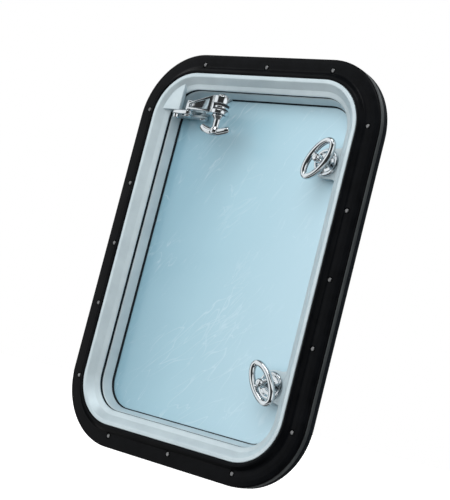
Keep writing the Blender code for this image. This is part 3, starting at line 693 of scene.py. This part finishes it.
# Where each cheek leaves the web, as (along, offset), and how far its edge runs round the elbow in degrees
TOP_CHEEK = ((38, -6.9), 110)
LOW_CHEEK = ((54, -8.8), 140)
run = Vector((elbow.x - frame_pivot.x, elbow.y - frame_pivot.y))
length = run.length
heading = math.atan2(run.y, run.x)
run.normalize()
side = Vector((-run.y, run.x))
SPLAY = math.atan2(WEB_OFFSETS[1] - WEB_OFFSETS[0], length)


def arm_spot(along, offset):
    """A place in plan, counted along the line between the arm's pivots and off to its side."""
    return Vector((frame_pivot.x, frame_pivot.y)) + run * along + side * offset


def web_mesh(name, side_view, offset, thickness):
    """A plate standing along the arm's splayed web, from its side view of (along, z) points."""
    across = Vector((-math.sin(heading + SPLAY), math.cos(heading + SPLAY))) * thickness / 2
    vertices = []
    for face in (-1, 1):
        for along, z in side_view:
            spot = arm_spot(along, WEB_OFFSETS[0] + offset + along * math.tan(SPLAY)) + across * face
            vertices.append(place(spot.x, spot.y, z))
    count = len(side_view)
    faces = [tuple(range(count)), tuple(range(2 * count - 1, count - 1, -1))]
    faces += [(i, (i + 1) % count, count + (i + 1) % count, count + i) for i in range(count)]
    return mesh_from(name, vertices, faces)


slot_low, slot_high = link_low.z - WASHER_GAP, link_high.z + WASHER_GAP
web_view = [(0, ARM_LOW + 1.8), (length, ELBOW_LOW), (length, ELBOW_HIGH), (0, ARM_HIGH)]
panel_view = [(PANEL_START, ARM_LOW + 2.8), (PANEL_END, ELBOW_LOW + 3.6), (PANEL_END, ELBOW_HIGH - 2.6),
              (PANEL_START, ARM_HIGH - 2.0)]
panel = softened(web_mesh("panel", panel_view, -WEB_THICKNESS / 2, PANEL_DEPTH), 0.6, 2)
web = boolean(softened(web_mesh("web", web_view, 0, WEB_THICKNESS), 0.8, 3), "DIFFERENCE", [panel])
frame_eye = turned_soft("eye", bar_profile(FRAME_EYE_RADIUS, ARM_HIGH - ARM_LOW), 0.8,
                        (frame_pivot.x, frame_pivot.y, ARM_LOW), UP)
toward_elbow = math.degrees(heading)
cheeks = []
for (start, sweep), low_z, high_z in ((TOP_CHEEK, slot_high, ELBOW_HIGH),
                                      (LOW_CHEEK, ELBOW_LOW, slot_low)):
    outline = [tuple(arm_spot(*start))]
    outline += arc((elbow.x, elbow.y), ELBOW_RADIUS, toward_elbow - 95, toward_elbow + sweep, 40)
    cheeks.append(softened(prism("cheek", outline, low_z, high_z, True), 0.8, 3))
bores = [level_bar(spot.x, spot.y, STAY_BORE, *ARM_BORES) for spot in (frame_pivot, elbow)]
arm = boolean(boolean(web, "UNION", [frame_eye, *cheeks]), "DIFFERENCE", bores)
as_piece("stay_arm_skin", arm, ["stay_arm"], 45)

link_heading = math.degrees(math.atan2(elbow.y - pivot.y, elbow.x - pivot.x))
outline = arc((elbow.x, elbow.y), LINK_EYE_RADIUS, link_heading - 110, link_heading + 110, 36)
outline += arc((pivot.x, pivot.y), LINK_END_RADIUS, link_heading + 90, link_heading + 270, 24)
bar = softened(prism("link", outline, link_low.z, link_high.z, True), 0.9, 3)
bores = [level_bar(spot.x, spot.y, STAY_BORE, *ARM_BORES) for spot in (pivot, elbow)]
as_piece("stay_link_skin", boolean(bar, "DIFFERENCE", bores), ["stay_link"], 40)

PIN_RADIUS = 3
HEAD_PLAY = 0.3


def stay_pin(node, spot, head, radius):
    """A pin or bolt of the stay, turned upwards from its low end."""
    mesh = turned_soft(node, head, radius, (spot.x, spot.y, bounds(node)[0].z), UP)
    as_piece(f"{node}_skin", mesh, [node], 50)


top = ARM_HIGH + HEAD_PLAY - bounds("stay_frame_pin")[0].z
stay_pin("stay_frame_pin", frame_pivot,
         [(0, 0), (3.6, 0), (4.6, 0.8), (4.6, 2.4), (PIN_RADIUS, 2.4), (PIN_RADIUS, top), (4.4, top),
          (4.4, top + 1.8), (3.4, top + 3), (0, top + 3)], 0.7)
top = ELBOW_HIGH + HEAD_PLAY - bounds("stay_elbow_bolt")[0].z
stay_pin("stay_elbow_bolt", elbow,
         [(0, 0), (PIN_RADIUS, 0), (PIN_RADIUS, top), (6.4, top), (6.4, top + 1.6), (4.8, top + 2.8),
          (0, top + 2.8)], 0.8)
low, high = bounds("stay_sash_pin")
top = high.z - low.z
stay_pin("stay_sash_pin", pivot,
         [(0, 0), (3.6, 0), (4.6, 0.8), (4.6, 2.2), (PIN_RADIUS, 2.2), (PIN_RADIUS, top), (0, top)], 0.5)

# Wing knob
KNOB_TURN = math.radians(10)
KNOB_LOW = 128.0
WELL_FLOOR = 5.0
WING_REACH, WING_RISE, WING_RADIUS = 17.5, 5.0, 4.3
WING_HEIGHT = 3.0
WING_TIP, WING_TAPER = 0.85, 0.9       # where the wings begin to thin, and by how much
WING_STEPS = 12
top = bounds("wing_knob")[1].z - KNOB_LOW
profile = [(0, 0), (5.0, 0), (6.2, 2.0), (6.0, 5.0), (4.4, 8.0), (4.4, top - 5), (7.6, top - 1.6), (7.6, top),
           (STAY_BORE, top), (STAY_BORE, WELL_FLOOR), (0, WELL_FLOOR)]
body = turned_soft("knob", profile, 0.9, (elbow.x, elbow.y, KNOB_LOW), UP)
wing_axis, wing_side = Vector((math.cos(KNOB_TURN), math.sin(KNOB_TURN), 0)), Vector(UP)
start = place(elbow.x, elbow.y, KNOB_LOW + WING_HEIGHT)
steps = [t / WING_STEPS for t in range(-WING_STEPS, WING_STEPS + 1)]
path = [start + (wing_axis * WING_REACH * t + wing_side * WING_RISE * t * t) * MM for t in steps]
radii = [WING_RADIUS - WING_TAPER * max(0, abs(t) - WING_TIP) / (1 - WING_TIP) for t in steps]
wings = tube_mesh("wings", path, radii, False)
well = level_bar(elbow.x, elbow.y, STAY_BORE, KNOB_LOW + WELL_FLOOR, KNOB_LOW + top + 2)
knob = boolean(boolean(body, "UNION", [softened(wings, 0.8, 3, 60)]), "DIFFERENCE", [well])
as_piece("wing_knob_skin", knob, ["wing_knob"], 50)

# ---------------------------------------------------------------- remaining CAD nodes

CAD_EDGE = 0.25

for name, node in frame["nodes"].items():
    if not node.hide_render:
        node.data.materials.clear()
        node.data.materials.append(LOOKS[SLOT_OF[name]])
        edges = node.modifiers.new("edges", "BEVEL")
        edges.width = CAD_EDGE * MM
        edges.segments = 2
        edges.limit_method = "ANGLE"
        edges.angle_limit = math.radians(50)
        shade(node.data, 40)

# ---------------------------------------------------------------- stage, light and camera

FLOOR_REACH, FLOOR_LEVEL = 4, -0.232   # metres
corners = [(x * FLOOR_REACH, y * FLOOR_REACH, FLOOR_LEVEL) for x, y in ((-1, -1), (1, -1), (1, 1), (-1, 1))]
floor = bpy.data.objects.new("floor", mesh_from("floor", corners, [(0, 1, 2, 3)]))
bpy.context.scene.collection.objects.link(floor)
pale, pale_shader, pale_node, pale_link = new_material("pale_floor")
pale_shader.inputs["Roughness"].default_value = 0.8
pale_shader.inputs["Emission Color"].default_value = (1, 1, 1, 1)
pale_shader.inputs["Emission Strength"].default_value = 1.0
cloud = noise(pale_node, position_node(pale_node), 3.0)
pale_link(ramp(pale_node, cloud, [(0.3, 0.88), (0.7, 0.92)]), "Base Color")
floor.data.materials.append(pale)
floor.visible_glossy = False
floor.visible_diffuse = False

# Studio: white to the camera; reflections see a bright ceiling strip and a bright floor strip with a dark
# room between them, which round softboxes break up. Levels are (height, brightness), softboxes (direction,
# cosine of their edge, brightness)
LEVELS = [(-1.0, 0.08), (-0.78, 0.08), (-0.72, 0.7), (-0.6, 0.7), (-0.52, 0.04), (0.46, 0.04), (0.52, 1.1),
          (0.7, 1.1), (0.76, 0.1), (1.0, 0.1)]
LEVELS_TOP = 1.5
SOFTBOXES = [((-0.72, -0.68, 0.1), 0.88, 1.05), ((0.93, -0.3, 0.12), 0.94, 1.2),
             ((-0.64, -0.55, -0.51), 0.95, 1.0)]
SOFTBOX_BLUR = 0.03

world = bpy.data.worlds.new("studio")
bpy.context.scene.world = world
world.use_nodes = True
sky = world.node_tree
background = sky.nodes["Background"]


def sky_node(kind, links=(), **settings):
    return add_node(sky, kind, links, **settings)


direction = sky_node("ShaderNodeTexCoord").outputs["Generated"]
height = sky_node("ShaderNodeSeparateXYZ", links=[("Vector", direction)]).outputs["Z"]
levels = ramp(sky_node, math_node(sky_node, "MULTIPLY_ADD", height, 0.5, 0.5),
              [((z + 1) / 2, light / LEVELS_TOP) for z, light in LEVELS])
light = math_node(sky_node, "MULTIPLY", levels, LEVELS_TOP)
for toward, edge, strength in SOFTBOXES:
    facing = sky_node("ShaderNodeVectorMath", operation="DOT_PRODUCT", links=[(0, direction)])
    facing.inputs[1].default_value = Vector(toward).normalized()
    box = sky_node("ShaderNodeMapRange", links=[("Value", facing.outputs["Value"])],
                   **{"From Min": edge - SOFTBOX_BLUR, "From Max": edge + SOFTBOX_BLUR, "To Max": strength})
    light = math_node(sky_node, "MAXIMUM", light, box.outputs["Result"])
path = sky_node("ShaderNodeLightPath")
seen = math_node(sky_node, "MAXIMUM", path.outputs["Is Camera Ray"], light)
sky.links.new(seen, background.inputs["Color"])
background.inputs["Strength"].default_value = 1.0


def area_light(name, place_m, size, power):
    """A rectangular lamp, sized in metres, that faces the centre of the opening."""
    lamp = bpy.data.lights.new(name, "AREA")
    lamp.shape = "RECTANGLE"
    lamp.size, lamp.size_y = size
    lamp.energy = power
    holder = bpy.data.objects.new(name, lamp)
    bpy.context.scene.collection.objects.link(holder)
    holder.location = place_m
    holder.rotation_mode = "QUATERNION"
    holder.rotation_quaternion = (-Vector(place_m)).to_track_quat("-Z", "Y")
    holder.visible_camera = False
    return holder


area_light("top_softbox", (0.2, -0.9, 1.5), (0.9, 0.5), 5)
fill = area_light("fill", (0.2, -1.6, 0.6), (2.0, 2.0), 32)
fill.visible_glossy = False

# The camera's place in metres from the rim's centre, and its own axes
CAMERA_PLACE = (0.89306, -1.04035, -0.13421)
CAMERA_RIGHT = Vector((0.756905, 0.605107, 0.24686))
CAMERA_FORWARD = Vector((-0.641573, 0.759922, 0.104415))
CAMERA_LENS = 93.744

camera = bpy.data.objects.new("camera", bpy.data.cameras.new("camera"))
bpy.context.scene.collection.objects.link(camera)
camera.data.lens = CAMERA_LENS
camera.data.sensor_width = 36
camera.data.clip_start = 0.05
camera.data.clip_end = 50
axes = Matrix((CAMERA_RIGHT, CAMERA_RIGHT.cross(CAMERA_FORWARD), -CAMERA_FORWARD)).transposed()
camera.matrix_world = Matrix.Translation(Vector(CAMERA_PLACE) - Vector((0, SEAT * MM, 0))) @ axes.to_4x4()
bpy.context.scene.camera = camera
bpy.context.scene.view_settings.view_transform = "Standard"
